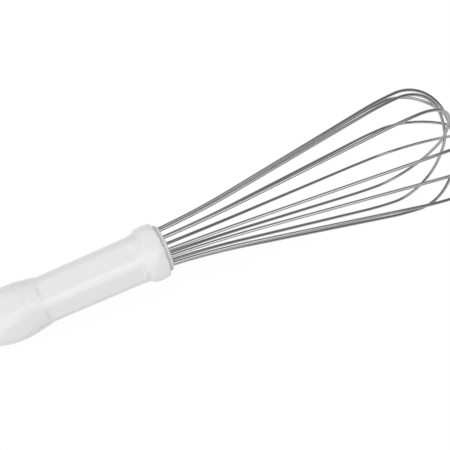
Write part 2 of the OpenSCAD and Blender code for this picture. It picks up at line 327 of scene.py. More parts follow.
def new_group(name: str, inputs: dict[str, float],
              outputs: Sequence[str]) -> tuple[NodeSheet, Sequence[NodeSocket], Node]:
    """Starts a shared effect.

    Args:
        name: Name of the group.
        inputs: Default of each input after the place, which comes first.
        outputs: Names of the value outputs.

    Returns:
        The group's sheet, the sockets that its inputs come in by, and its output node.
    """
    tree = bpy.data.node_groups.new(name, "ShaderNodeTree")
    tree.interface.new_socket("Vector", in_out="INPUT", socket_type="NodeSocketVector")
    for key, value in inputs.items():
        socket = tree.interface.new_socket(key, in_out="INPUT", socket_type="NodeSocketFloat")
        socket.default_value = value
    for key in outputs:
        tree.interface.new_socket(key, in_out="OUTPUT", socket_type="NodeSocketFloat")
    sheet = NodeSheet(tree)
    source = sheet.node("NodeGroupInput").outputs[:len(inputs) + 1]
    return sheet, source, sheet.node("NodeGroupOutput")


class SharedEffects:
    """The effects that more than one finish uses, each built once as a node group.

    The scales are in cells to the metre, and the edges are the noise values between which a mark
    comes in.
    """

    drift_scale: float = 22.0
    wire_drift_scale: float = 150.0
    scuff_stretches: tuple = ((90.0, 1400.0, 1400.0), (260.0, 420.0, 2100.0))
    scuff_edge: tuple = (0.66, 0.74)
    patch_scale: float = 60.0
    patch_edge: tuple = (0.48, 0.62)
    haze_scale: float = 45.0
    haze_edge: tuple = (0.35, 0.7)

    def __init__(self) -> None:
        """Builds the groups."""
        self.grain = self._grain()
        self.handling = self._handling()
        self.drawn_lines = self._drawn_lines()

    def _grain(self) -> NodeTree:
        """Builds the fine skin of a moulding: a soft ripple and a close grain.

        Returns:
            A group that puts out a height and a slow variation.
        """
        sheet, (place, grains, ripples, share), sink = new_group(
            "moulded_grain", {"Grain": 900.0, "Ripple": 120.0, "Grain Share": 0.35},
            ("Height", "Variation"))
        grain = sheet.noise(place, grains, detail=3.0, roughness=0.55)
        ripple = sheet.noise(place, ripples, detail=1.0, roughness=0.4)
        height = sheet.math("ADD", sheet.math("MULTIPLY", grain, share), ripple)
        sheet.node(sink, Height=height,
                   Variation=sheet.noise(place, self.drift_scale, detail=3.0))
        return sheet.tree

    def _handling(self) -> NodeTree:
        """Builds the traces of use: hairline scuffs in two directions and dull patches.

        Returns:
            A group that puts out scuffs and haze, both from 0 to 1.
        """
        sheet, (place, strength), sink = new_group(
            "handling_marks", {"Scuffs": 1.0}, ("Scuffs", "Haze"))
        lines = []
        for stretch in self.scuff_stretches:
            stretched = sheet.node("ShaderNodeMapping", Vector=place, Scale=stretch).outputs[0]
            streak = sheet.noise(stretched, 1.0, detail=2.0, roughness=0.6)
            lines.append(sheet.ramp(streak, self.scuff_edge))
        patch = sheet.noise(place, self.patch_scale, detail=3.0, roughness=0.6)
        streaks = sheet.math("MULTIPLY", sheet.math("MAXIMUM", *lines),
                             sheet.ramp(patch, self.patch_edge))
        cloud = sheet.noise(place, self.haze_scale, detail=4.0, roughness=0.6)
        haze = sheet.ramp(cloud, self.haze_edge)
        sheet.node(sink, Scuffs=sheet.math("MULTIPLY", streaks, strength), Haze=haze)
        return sheet.tree

    def _drawn_lines(self) -> NodeTree:
        """Builds the lines that a drawing die leaves along a wire.

        Returns:
            A group that puts out a height and a slow variation along the wire.
        """
        sheet, (place, lines, run), sink = new_group(
            "drawn_lines", {"Lines": 6000.0, "Run": 60.0}, ("Height", "Variation"))
        stretch = sheet.node("ShaderNodeCombineXYZ", X=lines, Y=lines, Z=run).outputs[0]
        drawn = sheet.node("ShaderNodeVectorMath", {"operation": "MULTIPLY"}, in0=place,
                           in1=stretch).outputs[0]
        sheet.node(sink, Height=sheet.noise(drawn, 1.0, detail=2.0, roughness=0.6),
                   Variation=sheet.noise(place, self.wire_drift_scale, detail=3.0))
        return sheet.tree


def new_material(name: str) -> tuple[Material, NodeSheet, Node]:
    """Starts a material.

    Args:
        name: Name of the finish.

    Returns:
        The material, its node sheet and its Principled shader.
    """
    material = bpy.data.materials.new(name)
    material.use_nodes = True
    sheet = NodeSheet(material.node_tree)
    return material, sheet, sheet.tree.nodes["Principled BSDF"]


@dataclass(frozen=True)
class Finish:
    """What every finish has. Each kind of finish lays out its own pattern.

    Args:
        name: Name of the finish.
        colour: Its colour.
        shade: The colour that it drifts to in places.
        gloss: Roughness where it is bright.
        haze: Roughness where it is dull.
        bump: Depth of its relief, in metres.
        dull_edge: Dullness at which it is bright, and at which it is dull.
        metallic: 1 for a metal, or else 0.
    """

    name: str
    colour: tuple
    shade: tuple
    gloss: float
    haze: float
    bump: float
    dull_edge: tuple = (0.0, 1.0)
    metallic: float = 0.0

    def build(self, effects: SharedEffects) -> Material:
        """Builds the material.

        Args:
            effects: The shared node groups.

        Returns:
            The material.
        """
        material, sheet, shader = new_material(self.name)
        drift, dull, height = self._pattern(sheet, effects)
        relief = sheet.node("ShaderNodeBump", Height=height, Distance=self.bump, Strength=1.0)
        sheet.node(shader, Base_Color=sheet.tint(drift, self.colour, self.shade),
                   Roughness=sheet.ramp(dull, self.dull_edge, (self.gloss, self.haze)),
                   Metallic=self.metallic, Normal=relief.outputs[0])
        return material


@dataclass(frozen=True)
class MouldedPlastic(Finish):
    """A moulded plastic with a faint ripple, fine grain and scuffs, polished where edges rub.

    Args:
        grain: Grains to the metre.
        scuffs: Strength of the scuffs.
        scuff_depth: Depth of the scuffs against the grain's.
        depth: How deep light goes in, in metres.
        depth_share: How much light goes in, where any does.
    """

    grain: float = 900.0
    scuffs: float = 1.0
    scuff_depth: float = 0.6
    depth: float = 0.0
    depth_share: float = 0.15

    def _pattern(self, sheet: NodeSheet, effects: SharedEffects) -> tuple[NodeSocket, ...]:
        """Lays out the pattern of the skin.

        Args:
            sheet: The material's node sheet.
            effects: The shared node groups.

        Returns:
            The share of the second colour, the dullness and the height.
        """
        place = sheet.node("ShaderNodeTexCoord").outputs["Object"]
        grain = sheet.node("ShaderNodeGroup", {"node_tree": effects.grain}, Vector=place,
                           Grain=self.grain).outputs
        marks = sheet.node("ShaderNodeGroup", {"node_tree": effects.handling}, Vector=place,
                           Scuffs=self.scuffs).outputs
        rubbed = sheet.node("ShaderNodeAttribute", {"attribute_name": Field.RIDGE.value})
        haze = sheet.math("SUBTRACT", marks["Haze"], rubbed.outputs["Fac"])
        scratches = sheet.math("MULTIPLY", marks["Scuffs"], self.scuff_depth)
        if self.depth:
            sheet.node(sheet.tree.nodes["Principled BSDF"], Subsurface_Weight=self.depth_share,
                       Subsurface_Scale=self.depth)
        return (grain["Variation"], sheet.math("MAXIMUM", marks["Scuffs"], haze),
                sheet.math("SUBTRACT", grain["Height"], scratches))


@dataclass(frozen=True)
class DrawnSteel(Finish):
    """Polished stainless steel, drawn through a die, with fine lines along its length.

    Args:
        along_wire: Whether the lines follow the wire's own places or the object's axes.
    """

    bump: float = 1e-6
    dull_edge: tuple = (0.3, 0.7)
    metallic: float = 1.0
    along_wire: bool = True

    def _pattern(self, sheet: NodeSheet, effects: SharedEffects) -> tuple[NodeSocket, ...]:
        """Lays out the lines of the steel.

        Args:
            sheet: The material's node sheet.
            effects: The shared node groups.

        Returns:
            The share of the second colour, the dullness and the height.
        """
        if self.along_wire:
            settings = {"attribute_name": Field.WIRE_PLACE.value}
            place = sheet.node("ShaderNodeAttribute", settings).outputs["Vector"]
        else:
            place = sheet.node("ShaderNodeTexCoord").outputs["Object"]
        lines = sheet.node("ShaderNodeGroup", {"node_tree": effects.drawn_lines},
                           Vector=place).outputs
        return lines["Variation"], lines["Variation"], lines["Height"]


FINISHES = {
    Slot.HANDLE: MouldedPlastic(
        "gloss_white_plastic", colour=(0.80, 0.80, 0.798), shade=(0.785, 0.785, 0.783),
        gloss=0.26, haze=0.31, bump=2e-6),
    Slot.SEAL: MouldedPlastic(
        "satin_grey_plastic", colour=(0.70, 0.705, 0.71), shade=(0.66, 0.665, 0.67),
        gloss=0.34, haze=0.45, bump=4e-6, grain=1600.0, scuffs=0.5),
    Slot.CORE: MouldedPlastic(
        "matt_dark_plastic", colour=(0.12, 0.125, 0.13), shade=(0.10, 0.105, 0.11),
        gloss=0.5, haze=0.65, bump=1e-5, grain=1600.0, scuffs=0.0),
    Slot.RESIN: MouldedPlastic(
        "cast_amber_resin", colour=(0.52, 0.33, 0.11), shade=(0.44, 0.26, 0.08),
        gloss=0.14, haze=0.3, bump=8e-6, grain=300.0, scuffs=0.0, depth=0.002),
    Slot.WIRE: DrawnSteel(
        "polished_wire_steel", colour=(0.40, 0.40, 0.405), shade=(0.36, 0.36, 0.365),
        gloss=0.11, haze=0.18),
    Slot.BAND: DrawnSteel(
        "satin_band_steel", colour=(0.46, 0.46, 0.465), shade=(0.41, 0.41, 0.415),
        gloss=0.3, haze=0.4, along_wire=False),
}


class Bench:
    """Where the pieces are laid in the row frame and given their finish."""

    def __init__(self, lay: Lay) -> None:
        """Builds every finish once.

        Args:
            lay: How the whisk lies.
        """
        effects = SharedEffects()
        self.lay = lay
        self.materials = {slot: finish.build(effects) for slot, finish in FINISHES.items()}

    def finished(self, mesh: BMesh, name: str) -> Object:
        """Puts a mesh made in handle millimetres into the scene, in the row frame.

        Args:
            mesh: The mesh, which is freed.
            name: Name of the piece.

        Returns:
            The piece, smooth but for its sharp edges, with its object at the origin.
        """
        bmesh.ops.transform(mesh, matrix=self.lay.matrix, verts=mesh.verts)
        for face in mesh.faces:
            face.smooth = True
        data = as_data(mesh, name)
        data.set_sharp_from_angle(angle=SHARP_EDGE)
        return placed(name, data)

    def dress(self, item: Object, slot: Slot) -> None:
        """Gives a piece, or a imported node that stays, its finish.

        Args:
            item: The piece or node.
            slot: The record's slot of that finish.
        """
        material = self.materials[slot]
        item.data.materials.clear()
        item.data.materials.append(material)
        log.info("%s: %d faces, in %s", item.name, len(item.data.polygons), material.name)

    def declare(self, piece: Object, slot: Slot, *nodes: str) -> None:
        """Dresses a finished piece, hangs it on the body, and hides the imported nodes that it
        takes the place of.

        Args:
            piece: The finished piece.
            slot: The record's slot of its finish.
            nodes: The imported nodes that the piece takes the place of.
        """
        self.dress(piece, slot)
        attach(piece, BODY)
        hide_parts(*nodes)


@dataclass(frozen=True)
class LoopPlan:
    """What sets one wire loop apart from the others.

    Args:
        first_turn: Turn of its first leg.
        second_turn: Turn of its second leg.
        level: Place in the nest at the tip, counted inwards from the outermost.
        splay_share: Its splay as a share of the cage's.
        drop_share: How much shorter it is, as a share of the cage's reach.
    """

    first_turn: float
    second_turn: float
    level: int
    splay_share: float
    drop_share: float

    @property
    def bend(self) -> float:
        """By how many degrees the two legs miss one straight line, seen from the tip."""
        return (self.second_turn - self.first_turn) % 360 - 180


@dataclass(frozen=True)
class Station:
    """A place on a leg, in the leg's own plane, with the heading of the wire there."""

    place: Vector
    heading: float
    crown_share: float = 0.0


def inward(radius: float, start: float, end: float) -> Vector:
    """Returns the step along an arc that turns inwards from one heading to another."""
    a, b = math.radians(start), math.radians(end)
    return radius * Vector((math.sin(a) - math.sin(b), math.cos(b) - math.cos(a)))


@dataclass(frozen=True)
class WireCage:
    """The six nested wire loops, from their tails in the handle to the crossing at the tip."""

    exit_x: float
    exit_radius: float = 9.05
    exit_slope: float = 4.4
    wire_diameter: float = 1.6
    cage_reach: float = 179.2
    flare_radius: float = 346.0
    splay_angle: float = 11.4
    belly_radius: float = 180.0
    belly_turn: float = 6.3
    shoulder_radius: float = 26.6
    shoulder_turn: float = 80.0
    crossing_gap: float = 0.3
    cage_lean: float = 2.3
    lean_turn: float = -120.0
    tail_length: float = 30.0
    # How fine the mesh is.
    wire_sides: int = 20
    flare_steps: int = 10
    belly_steps: int = 8
    shoulder_steps: int = 32
    crown_steps: int = 12
    # The loops by their number.
    loops: tuple = (
        LoopPlan(39.0, -144.5, 2, 0.93, 0.032),
        LoopPlan(22.5, -171.5, 4, 0.948, 0.0405),
        LoopPlan(-11.0, 162.0, 5, 1.038, 0.041),
        LoopPlan(-49.0, 133.5, 3, 1.078, 0.032),
        LoopPlan(-70.0, 110.0, 0, 1.032, 0.0),
        LoopPlan(-101.5, 72.5, 1, 0.956, 0.0105),
    )

    @property
    def _leaning(self) -> Matrix:
        """The lean of the cage about the middle of the ring where the wires leave the seal."""
        pivot = Matrix.Translation((self.exit_x, 0.0, 0.0))
        axis = Vector((1.0, 0.0, 0.0)).cross(radial(self.lean_turn))
        return pivot @ Matrix.Rotation(math.radians(self.cage_lean), 4, axis) @ pivot.inverted()

    def _leg(self, plan: LoopPlan) -> list[Station]:
        """Works out one leg in its own plane, from the seal to the crossing.

        Args:
            plan: The loop that the leg belongs to.

        Returns:
            Its stations, the last one on the axis.
        """
        splay = self.splay_angle * plan.splay_share
        shoulder_in = splay - self.belly_turn
        shoulder_out = shoulder_in - self.shoulder_turn
        crown = 90 + shoulder_out
        nest_step = self.wire_diameter + self.crossing_gap
        reach = self.cage_reach * (1 - plan.drop_share) - plan.level * nest_step
        start = Vector((self.exit_x, self.exit_radius))
        flared = start - inward(self.flare_radius, self.exit_slope, splay)
        belly = inward(self.belly_radius, splay, shoulder_in)
        shoulder = inward(self.shoulder_radius, shoulder_in, shoulder_out)
        bent = flared + belly + shoulder
        slope = math.tan(math.radians(crown / 2))
        run_way = Vector((math.cos(math.radians(splay)), math.sin(math.radians(splay))))
        run = (reach - bent.x - bent.y * slope) / (run_way.x + run_way.y * slope)
        belly_start = flared + run * run_way
        shoulder_start = belly_start + belly
        crown_start = shoulder_start + shoulder
        crown_radius = crown_start.y / math.sin(math.radians(crown))
        stations = []
        bends = (
            (start, -self.flare_radius, self.exit_slope, splay, self.flare_steps),
            (belly_start, self.belly_radius, splay, shoulder_in, self.belly_steps),
            (shoulder_start, self.shoulder_radius, shoulder_in, shoulder_out, self.shoulder_steps),
            (crown_start, crown_radius, shoulder_out, -90.0, self.crown_steps),
        )
        for origin, radius, first, last, steps in bends:
            for step in range(steps + 1):
                heading = first + (last - first) * step / steps
                place = origin + inward(radius, first, heading)
                share = 1 - place.y / crown_start.y if place.x > crown_start.x else 0.0
                if not stations or (stations[-1].place - place).length > TOUCHING:
                    stations.append(Station(place, heading, share))
        return stations

    @staticmethod
    def _ring(station: Station, turn: float, returning: bool) -> Matrix:
        """Places the ring of the wire at a station, as if the cage didn't lean.

        Args:
            station: The station on the leg.
            turn: Its turn.
            returning: Whether the wire runs back towards the handle here.

        Returns:
            The ring's matrix in handle millimetres, with the wire's way along Z.
        """
        heading = math.radians(station.heading)
        outward = in_space(Vector((-math.sin(heading), math.cos(heading))), turn)
        forward = in_space(Vector((math.cos(heading), math.sin(heading))), turn)
        if returning:
            forward = -forward
        matrix = Matrix((outward, forward.cross(outward), forward)).transposed().to_4x4()
        matrix.translation = in_space(station.place, turn)
        return matrix

    def _exit(self, turn: float, returning: bool = False) -> Matrix:
        """Places the ring where a straight tail, which doesn't lean, comes out of the seal.

        Args:
            turn: The leg's turn.
            returning: Whether the wire runs back towards the handle here.

        Returns:
            The ring's matrix in handle millimetres, with the wire's way along Z.
        """
        start = Station(Vector((self.exit_x, self.exit_radius)), self.exit_slope)
        matrix = self._ring(start, turn, returning)
        matrix.translation = self._leaning @ matrix.translation
        return matrix

    def exits(self) -> list[Matrix]:
        """Lists the rings where the twelve wires come out of the seal."""
        return [self._exit(turn) for plan in self.loops
                for turn in (plan.first_turn, plan.second_turn)]

    def _rings(self, plan: LoopPlan) -> list[Matrix]:
        """Lists the rings of a whole loop, from the end of one tail to the end of the other.

        Args:
            plan: The loop.

        Returns:
            The rings in order.
        """
        lean = self._leaning
        legs = []
        for turn, bend, returning in ((plan.first_turn, plan.bend / 2, False),
                                      (plan.second_turn, -plan.bend / 2, True)):
            mouth = self._exit(turn, returning)
            back = self.tail_length if returning else -self.tail_length
            legs.append([mouth @ Matrix.Translation((0.0, 0.0, back)), mouth])
            for station in self._leg(plan)[1:]:
                aside = bend * station.crown_share ** 2
                legs[-1].append(lean @ self._ring(station, turn + aside, returning))
        return legs[0] + legs[1][-2::-1]

    def _wire(self, plan: LoopPlan) -> BMesh:
        """Draws a loop: one circle, extruded from ring to ring and closed at both ends.

        Args:
            plan: The loop.

        Returns:
            Its mesh in handle millimetres, with each vertex's place on the wire.
        """
        radius = self.wire_diameter / 2
        rings = self._rings(plan)
        mesh = bmesh.new()
        layer = mesh.verts.layers.float_vector.new(Field.WIRE_PLACE.value)
        circle = bmesh.ops.create_circle(
            mesh, cap_ends=True, segments=self.wire_sides, radius=radius)["verts"]
        for vertex in circle:
            vertex[layer] = vertex.co * MM
        bmesh.ops.transform(mesh, matrix=rings[0], verts=circle)
        edges = list(dict.fromkeys(edge for vertex in circle for edge in vertex.link_edges))
        along = 0.0
        for before, after in zip(rings, rings[1:]):
            grown = bmesh.ops.extrude_edge_only(mesh, edges=edges)["geom"]
            circle = [item for item in grown if isinstance(item, BMVert)]
            edges = [edge for edge in grown if isinstance(edge, BMEdge)
                     and edge.verts[0] in circle and edge.verts[1] in circle]
            bmesh.ops.transform(mesh, matrix=after @ before.inverted(), verts=circle)
            along += (after.translation - before.translation).length * MM
            for vertex in circle:
                vertex[layer] = Vector((*vertex[layer].xy, along))
        bmesh.ops.contextual_create(mesh, geom=edges)
        bmesh.ops.recalc_face_normals(mesh, faces=mesh.faces)
        return mesh

    def build(self, bench: Bench) -> None:
        """Builds the six loops.

        Args:
            bench: Where they are finished.
        """
        for number, plan in enumerate(self.loops, start=1):
            piece = bench.finished(self._wire(plan), f"steel_loop_{number}")
            bench.declare(piece, Slot.WIRE, f"wire_loop_{number}")


@dataclass(frozen=True)
class Handle:
    """The moulded handle: a beaded collar, six flats, a palm swell and a tail with a hole."""

    handle_length: float = 126.0
    neck_radius: float = 11.5
    waist_radius: float = 10.65
    waist_rounding: float = 9.0
    # The six flats of the grip.
    flat_turn: float = 60.0
    flat_share: float = 0.943
    flat_start: float = 1.3
    flat_past_waist: float = 1.4
    flat_rear_rounding: float = 1.6
    flat_front_rounding: float = 2.5
    grip_turn: float = 11.5
    # Palm swell and tail.
    swell_radius: float = 12.5
    swell_back: float = 68.0
    swell_rounding: float = 28.0
    swell_front_slope: float = 9.5
    swell_rear_slope: float = 19.0
    swell_flat_reach: float = 11.9
    tail_front_radius: float = 9.0
    butt_radius: float = 8.2
    tail_rounding: float = 16.0
    butt_rounding: float = 5.5
    # Hanging hole.
    hang_hole_diameter: float = 7.0
    hang_hole_inset: float = 10.5
    hang_hole_bevel: float = 1.2
    # Bead of the collar.
    bead_radius: float = 13.65
    bead_back: float = 4.2
    bead_rounding: float = 11.0
    bead_end_slope: float = 17.0
    bead_flat_reach: float = 13.2
    bead_length: float = 9.3
    bead_rear_run: float = 1.2
    bead_front_run: float = 0.5
    bead_shoulder_rounding: float = 1.0
    bead_rear_rounding: float = 2.3
    # Lip, seat of the seal disc, and cavity.
    lip_radius: float = 11.75
    lip_rounding: float = 0.2
    seat_radius: float = 11.25
    seat_depth: float = 2.6
    cavity_front_radius: float = 10.0
    cavity_rear_radius: float = 8.2
    cavity_rear_x: float = -31.49
    cavity_margin: float = 0.6
    # How far from a flat's edge it is softened.
    edge_softness: float = 0.28
    bead_lens_softness: float = 0.9
    swell_lens_softness: float = 0.3
    # How fine the mesh is.
    steps: int = 216
    arc_step: float = 3.0
    hole_steps: int = 72
    hole_arc_step: float = 6.0
    # How close its rings lie, and how far the closest reach past the ends of the flats.
    coarse_ring: float = 1.2
    fine_ring: float = 0.45
    notch_ring: float = 0.13
    before_notch: float = 0.5
    after_notch: float = 0.3
    after_fillet: float = 0.4
    least_ring_share: float = 0.4

    @property
    def hole_back(self) -> float:
        """From the collar's front edge back to the middle of the hanging hole."""
        return self.handle_length - self.hang_hole_inset

    @property
    def _swell_vertex(self) -> Vector:
        """Where the two slopes of the palm swell would meet without their rounding."""
        tilt = math.radians((self.swell_front_slope - self.swell_rear_slope) / 2)
        half = math.radians((self.swell_front_slope + self.swell_rear_slope) / 2)
        reach = self.swell_rounding / math.cos(half)
        return Vector((-self.swell_back + reach * math.sin(tilt),
                       self.swell_radius - self.swell_rounding + reach * math.cos(tilt)))

    def _swell_end(self, radius: float, slope: float) -> float:
        """Returns the place where a slope of the swell has run down to a radius."""
        fall = self._swell_vertex.y - radius
        return self._swell_vertex.x + fall / math.tan(math.radians(slope))

    @property
    def waist_x(self) -> float:
        """Place of the waist between the grip and the swell."""
        return self._swell_end(self.waist_radius, self.swell_front_slope)

    @property
    def tail_x(self) -> float:
        """Place where the swell has run down to the tail."""
        return self._swell_end(self.tail_front_radius, -self.swell_rear_slope)

    @property
    def flat_front_x(self) -> float:
        """Front end of the six flats."""
        return -self.bead_length - self.flat_start

    @property
    def flat_rear_x(self) -> float:
        """Rear end of the six flats."""
        return self.waist_x - self.flat_past_waist

    def _bead_face(self, x: float) -> float:
        """Works out the bead's sloping face, without its rounded crest.

        Args:
            x: Place along the axis.

        Returns:
            The radius of the face there.
        """
        slope = math.radians(self.bead_end_slope)
        peak = self.bead_radius + self.bead_rounding * (1 / math.cos(slope) - 1)
        return peak - abs(x + self.bead_back) * math.tan(slope)

    def _outline(self) -> list[Vector]:
        """Draws the outline of the whole handle, with its seat and cavity.

        Returns:
            The points from the middle of the butt round to the rear end of the cavity.
        """
        swell = self._swell_vertex
        bead_rear_x = self.bead_rear_run - self.bead_length
        shoulder, rear = self.bead_shoulder_rounding, self.bead_rear_rounding
        outside = rounded([
            Corner(-self.handle_length, 0.0),
            Corner(-self.handle_length, self.butt_radius, self.butt_rounding),
            Corner(self.tail_x, self.tail_front_radius, self.tail_rounding),
            Corner(swell.x, swell.y, self.swell_rounding),
            Corner(self.waist_x, self.waist_radius, self.waist_rounding),
            Corner(-self.bead_length, self.neck_radius, rear),
            Corner(bead_rear_x, self._bead_face(bead_rear_x), rear),
            Corner(-self.bead_back, self._bead_face(-self.bead_back), self.bead_rounding),
            Corner(-self.bead_front_run, self._bead_face(-self.bead_front_run), shoulder),
            Corner(0.0, self.lip_radius, self.lip_rounding),
            Corner(0.0, self.seat_radius, self.lip_rounding),
            Corner(-self.seat_depth, self.seat_radius),
        ], self.arc_step)
        inside = [
            Vector((-self.seat_depth, self.cavity_front_radius)),
            Vector((self.cavity_rear_x, self.cavity_rear_radius)),
            Vector((self.cavity_rear_x, 0.0)),
        ]
        return outside + inside

    def _ring_step(self, x: float) -> float:
        """Says how close the mesh's rings lie, which is closest where the flats begin and end.

        Args:
            x: Place along the axis.

        Returns:
            The step to the next ring.
        """
        rear, front, tight = self.flat_rear_x, self.flat_front_x, self.notch_ring
        zones = (
            (rear - self.before_notch, rear + self.flat_rear_rounding + self.after_notch, tight),
            (front - self.flat_front_rounding, front + self.after_fillet, tight),
            (-self.bead_length, math.inf, self.fine_ring),
            (self.tail_x, rear, self.fine_ring),
        )
        return next((step for start, end, step in zones if start < x < end), self.coarse_ring)

    def _with_rings(self, outline: Sequence[Vector]) -> list[Vector]:
        """Adds points to an outline until its rings lie close enough everywhere.

        Args:
            outline: The outline's own points.

        Returns:
            The same outline with more points on its straight stretches.
        """
        points = [outline[0]]
        for start, end in zip(outline, outline[1:]):
            inside = start.y < self.seat_radius - TOUCHING and start.x > self.cavity_rear_x
            here = start.x
            while not inside and abs(end.x - here) > self._ring_step(here):
                here += math.copysign(self._ring_step(here), end.x - start.x)
                if abs(end.x - here) > self.least_ring_share * self._ring_step(here):
                    points.append(start.lerp(end, (here - start.x) / (end.x - start.x)))
            points.append(end)
        return points

    def _flat_height(self, x: float) -> float:
        """Works out how far the tool that cuts a flat stands from the axis.

        Args:
            x: Place along the axis.

        Returns:
            The distance, without end where no flat is cut.
        """
        fall = (x - self.waist_x) / (-self.bead_length - self.waist_x)
        reach = self.flat_share * (
            self.waist_radius + (self.neck_radius - self.waist_radius) * fall)
        ends = ((self.flat_rear_x, 1.0, self.flat_rear_rounding),
                (self.flat_front_x, -1.0, self.flat_front_rounding))
        for end, way, rounding in ends:
            gone = (x - end) * way
            if gone < 0.0:
                return math.inf
            if gone < rounding:
                reach += rounding - math.sqrt(rounding ** 2 - (rounding - gone) ** 2)
        return reach

    def _shaved(self, x: float, radius: float, turn: float) -> tuple[float, float]:
        """Shaves the flats off the round form, and rounds their edges by their softness.

        Args:
            x: Place along the axis.
            radius: Radius of the round form there.
            turn: Turn in degrees.

        Returns:
            The radius that is left, and how close the place is to a flat's edge, from 0 to 1.
        """
        aside = math.radians((turn - self.grip_turn) % self.flat_turn - self.flat_turn / 2)
        tools = [(self._flat_height(x), self.edge_softness)]
        if x > -self.bead_length:
            tools.append((self.bead_flat_reach, self.bead_lens_softness))
        elif x < self.waist_x:
            tools.append((self.swell_flat_reach, self.swell_lens_softness))
        ridge = 0.0
        for height, softness in tools:
            if height == math.inf:
                continue
            flat = height / math.cos(aside)
            near = max(softness - abs(radius - flat), 0.0) / softness
            ridge = max(ridge, near)
            radius = min(radius, flat) - near ** 2 * softness / 4
        return radius, ridge

    def _shape_flats(self, mesh: BMesh) -> None:
        """Moves the outer vertices of the spun form onto the flats.

        Args:
            mesh: The spun handle in handle millimetres.
        """
        layer = mesh.verts.layers.float.new(Field.RIDGE.value)
        cavity_radius = self.cavity_front_radius - self.cavity_margin + TOUCHING
        for vertex in mesh.verts:
            x, radius = vertex.co.x, vertex.co.yz.length
            ends = radius < self.butt_radius or x > -self.bead_front_run - TOUCHING
            cavity = x > self.tail_x and radius < cavity_radius
            seat = x > -self.seat_depth - TOUCHING and radius < self.seat_radius + TOUCHING
            if ends or cavity or seat:
                continue
            turn = math.degrees(math.atan2(vertex.co.y, vertex.co.z))
            left, vertex[layer] = self._shaved(x, radius, turn)
            vertex.co.yz *= left / radius

    def _hole_tool(self, bench: Bench) -> Object:
        """Makes the tool for the hanging hole, flared at both mouths.

        Args:
            bench: Where it is laid.

        Returns:
            The tool, along the row frame's Y.
        """
        radius = self.hang_hole_diameter / 2
        wall = self.butt_radius + (self.tail_front_radius - self.butt_radius) * (
            self.hang_hole_inset / (self.tail_x + self.handle_length))
        flare = self.hang_hole_bevel
        corners = [
            Corner(-wall - flare, 0.0),
            Corner(-wall - flare, radius + 2 * flare),
            Corner(-wall + flare, radius, 2 * flare),
            Corner(wall - flare, radius, 2 * flare),
            Corner(wall + flare, radius + 2 * flare),
            Corner(wall + flare, 0.0),
        ]
        mesh = spun(rounded(corners, self.hole_arc_step), self.hole_steps)
        across = Matrix.Rotation(math.pi / 2, 4, "Z")
        place = Matrix.Translation((-self.hole_back, 0.0, 0.0)) @ across
        bmesh.ops.transform(mesh, matrix=place, verts=mesh.verts)
        return bench.finished(mesh, "hang_hole_tool")

    def build(self, bench: Bench) -> None:
        """Builds the handle.

        Args:
            bench: Where it is finished.
        """
        mesh = spun(self._with_rings(self._outline()), self.steps)
        self._shape_flats(mesh)
        piece = bench.finished(mesh, "moulded_handle")
        cut(piece, self._hole_tool(bench))
        bench.declare(piece, Slot.HANDLE, "handle_shell")


